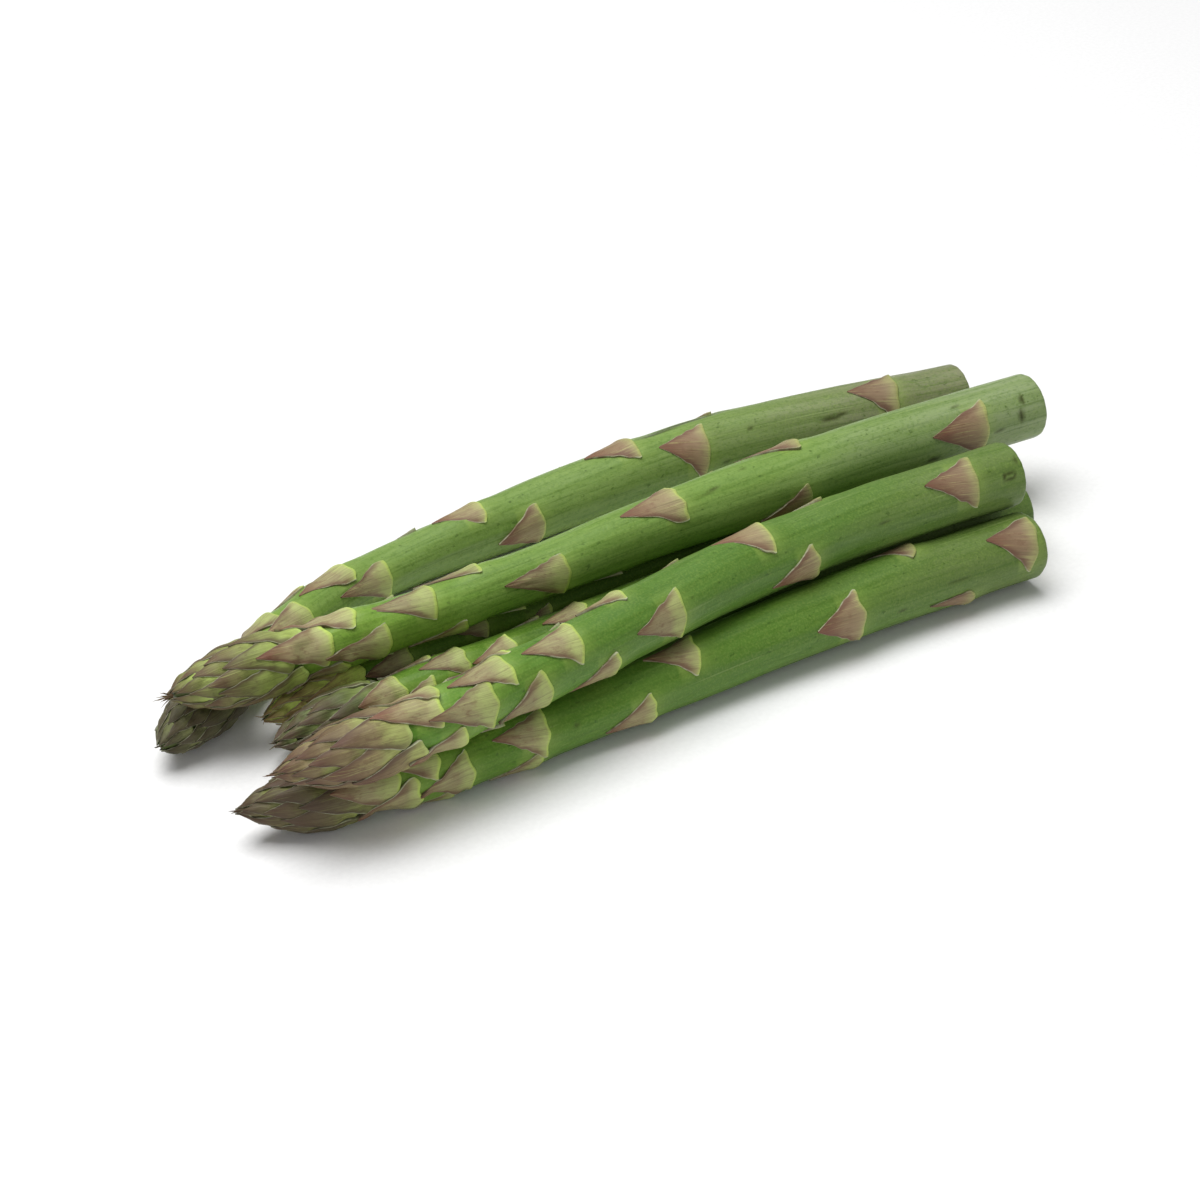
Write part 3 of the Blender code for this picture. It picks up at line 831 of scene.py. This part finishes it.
def leaf_material(name, colours, foot=0.12, middle=0.55):
    """Papery scale leaf: bright lip, pale foot, taupe body, brown tip and edges, with painted
    shade on its edges, walls and underside and a painted highlight along its edges.
    """
    n = Nodes(name)
    lip, pale, body, tip, edge = colours
    straight = n.vector("straight")
    along, across = n.value("along"), n.math("ABSOLUTE", n.value("across"))
    luck, deep = n.value("luck"), n.value("deep")
    cloud = n.noise(n.stretch(straight, (0.25, 0.55, 0.55)), detail=3.0, roughness=0.6)
    veins = n.noise(n.stretch(straight, (0.09, 4.2, 4.2)), detail=3.0, roughness=0.65)
    old = n.value("old")
    wander = n.math("ADD", along, n.math("MULTIPLY", n.math("SUBTRACT", cloud, 0.5), 0.30))
    wander = n.math("ADD", wander, n.math("MULTIPLY", n.math("SUBTRACT", luck, 0.5), 0.20))
    wander = n.math("ADD", wander, n.math("MULTIPLY", old, 0.06))
    colour = n.ramp(wander, [(0.0, pale), (foot, pale), (foot + 0.20, body), (middle, body),
                             (middle + 0.18, [(a + b) / 2.0 for a, b in zip(body, tip)]),
                             (middle + 0.40, tip)])
    colour = n.mix(n.math("MULTIPLY", old, n.between(along, 0.02, 0.35, 0.45, 0.80)), colour,
                   n.ramp(wander, [(0.10, OLD_LEAF), (0.95, tip)]))
    colour = n.mix(n.between(veins, 0.30, 0.50, 0.48, 0.0), colour,
                   [0.45 * c for c in body])
    colour = n.mix(n.between(veins, 0.54, 0.74, 0.0, 0.36), colour,
                   [min(1.0, 1.5 * c) for c in pale])
    rim = n.math("SUBTRACT", 1.0, n.between(n.math("ADD", along, n.math("MULTIPLY", n.math(
        "SUBTRACT", cloud, 0.5), 0.06)), 0.020, 0.085))
    colour = n.mix(n.math("MULTIPLY", rim, n.between(old, 0.0, 1.0, 0.90, 0.30)), colour, lip)
    # Brown edges: partly the leaf's own brown margin, partly painted shade darkening its outline
    fringe = n.between(n.math("ADD", across, n.math("MULTIPLY", n.math("SUBTRACT", cloud, 0.5),
                                                    0.35)), 0.58, 0.90)
    colour = n.mix(n.math("MULTIPLY", fringe, n.between(along, 0.0, 0.25, 0.15, 0.75)), colour,
                   edge)
    # Painted highlight: a thin silvery line along the leaf's edges, as if light caught them
    painted_edge_highlight = n.math("MULTIPLY", n.between(across, 0.940, 0.985),
                    n.between(cloud, 0.40, 0.58, 0.20, 0.85))
    colour = n.mix(painted_edge_highlight, colour, (0.400, 0.420, 0.270))
    blotch = n.noise(n.stretch(straight, (0.5, 1.1, 1.1), (5.0, 9.0, 2.0)), detail=4.0,
                     roughness=0.65)
    stain = n.math("MULTIPLY", n.between(blotch, 0.50, 0.68),
                   n.between(along, 0.05, 0.55, 0.15, 0.60))
    colour = n.mix(stain, colour, [0.75 * a + 0.15 * b for a, b in zip(tip, body)])
    brightness = n.between(luck, 0.0, 1.0, 0.98, 1.20)
    bright = n.node("CombineXYZ", {0: brightness, 1: brightness, 2: brightness}).outputs[0]
    colour = n.mix(1.0, colour, bright, "MULTIPLY")
    # Painted shade: the underside and side walls are darkened, so the gaps between overlapping
    # leaves read as shadow
    colour = n.mix(n.math("MULTIPLY", deep, 0.80), colour, [0.30 * c for c in tip])
    height = n.math("ADD", veins, n.math("MULTIPLY", blotch, 0.4))
    roughness = n.between(veins, 0.3, 0.7, 0.62, 0.50)
    return n.finish(colour, roughness, n.bump(height, 0.00020, 0.6), Specular_IOR_Level=0.30)


def floor_material():
    n = Nodes("pale_floor")
    grain = n.noise(n.node("TexCoord").outputs["Object"], 900.0, detail=2.0)
    colour = n.mix(n.between(grain, 0.2, 0.8), (0.86, 0.86, 0.86), (0.90, 0.90, 0.90))
    return n.finish(colour, 0.9, n.bump(grain, 0.00002, 0.2), Specular_IOR_Level=0.2)


# --- floor, light and camera ---------------------------------------------------------------

def build_stage():
    """A pale flat floor under the bundle, one sheet."""
    mesh = bpy.data.meshes.new("pale_floor")
    size, count = 6.0, 40
    places = np.linspace(-size / 2.0, size / 2.0, count)
    x, y = np.meshgrid(places, places, indexing="ij")
    points = np.stack([x, y, np.zeros_like(x)], axis=-1).reshape(-1, 3)
    mesh.from_pydata(points.tolist(), [], [f for f in grid_faces(count, count)])
    mesh.materials.append(floor_material())
    floor = bpy.data.objects.new("pale_floor", mesh)
    bpy.context.scene.collection.objects.link(floor)


def area_light(name, place, target, size, power, colour=(1.0, 1.0, 1.0)):
    light = bpy.data.lights.new(name, "AREA")
    light.shape = "RECTANGLE"
    light.size, light.size_y = size
    light.energy = power
    light.color = colour
    lamp = bpy.data.objects.new(name, light)
    lamp.location = place
    lamp.rotation_euler = (Vector(target) - Vector(place)).to_track_quat("-Z", "Y").to_euler()
    bpy.context.scene.collection.objects.link(lamp)


def build_lights():
    area_light("top_softbox", (-0.15, 0.25, 1.10), (0.0, 0.0, 0.0), (1.1, 0.9), 16.5)
    area_light("front_fill", (-0.70, -0.95, 0.55), (0.0, 0.0, 0.02), (1.0, 0.8), 2.6)
    world = bpy.data.worlds.new("studio")
    world.use_nodes = True
    background = world.node_tree.nodes["Background"]
    background.inputs["Color"].default_value = (1.0, 1.0, 1.0, 1.0)
    background.inputs["Strength"].default_value = 0.22
    bpy.context.scene.world = world


def build_camera():
    azimuth, elevation = math.radians(VIEW_AZIMUTH), math.radians(VIEW_ELEVATION)
    back = Vector((math.sin(azimuth) * math.cos(elevation),
                   -math.cos(azimuth) * math.cos(elevation), math.sin(elevation)))
    data = bpy.data.cameras.new("camera")
    data.sensor_width = 36.0
    data.lens = 93.6
    data.clip_start, data.clip_end = 0.01, 20.0
    camera = bpy.data.objects.new("camera", data)
    camera.location = Vector(VIEW_TARGET) + back * VIEW_DISTANCE
    camera.rotation_mode = "QUATERNION"
    camera.rotation_quaternion = (-back).to_track_quat("-Z", "Y")
    bpy.context.scene.collection.objects.link(camera)
    bpy.context.scene.camera = camera


# --- everything ----------------------------------------------------------------------------

def build_spear(letter, facts, spears, leaf_skin):
    spear = spears[letter]
    others = [other for name, other in spears.items() if name != letter]
    spear.marks = facts["marks"]
    spear.attached = [(leaf["base"], leaf["angle"], leaf["half"]) for leaf in spear.leaves]
    spear.attached += [(base, math.radians(angle), neck_half_angle(base))
                       for base, angle, _, _ in facts["neck"]]
    stalk = build_stalk(spear, stalk_material(letter, spear.length))
    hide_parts(spear.node)
    build_leaves(spear, others, facts, leaf_skin,
                 leaf_material(f"bud_skin_{letter}", COLOURS[letter]["bud"], foot=0.24,
                               middle=0.46))


def main():
    bpy.context.scene.view_settings.view_transform = "Standard"
    leaf_skin = leaf_material("leaf_skin", LEAF_COLOURS)
    spears = {letter: Spear(letter) for letter in SPEARS}
    for letter, facts in SPEARS.items():
        build_spear(letter, facts, spears, leaf_skin)
    build_stage()
    build_lights()
    build_camera()


main()
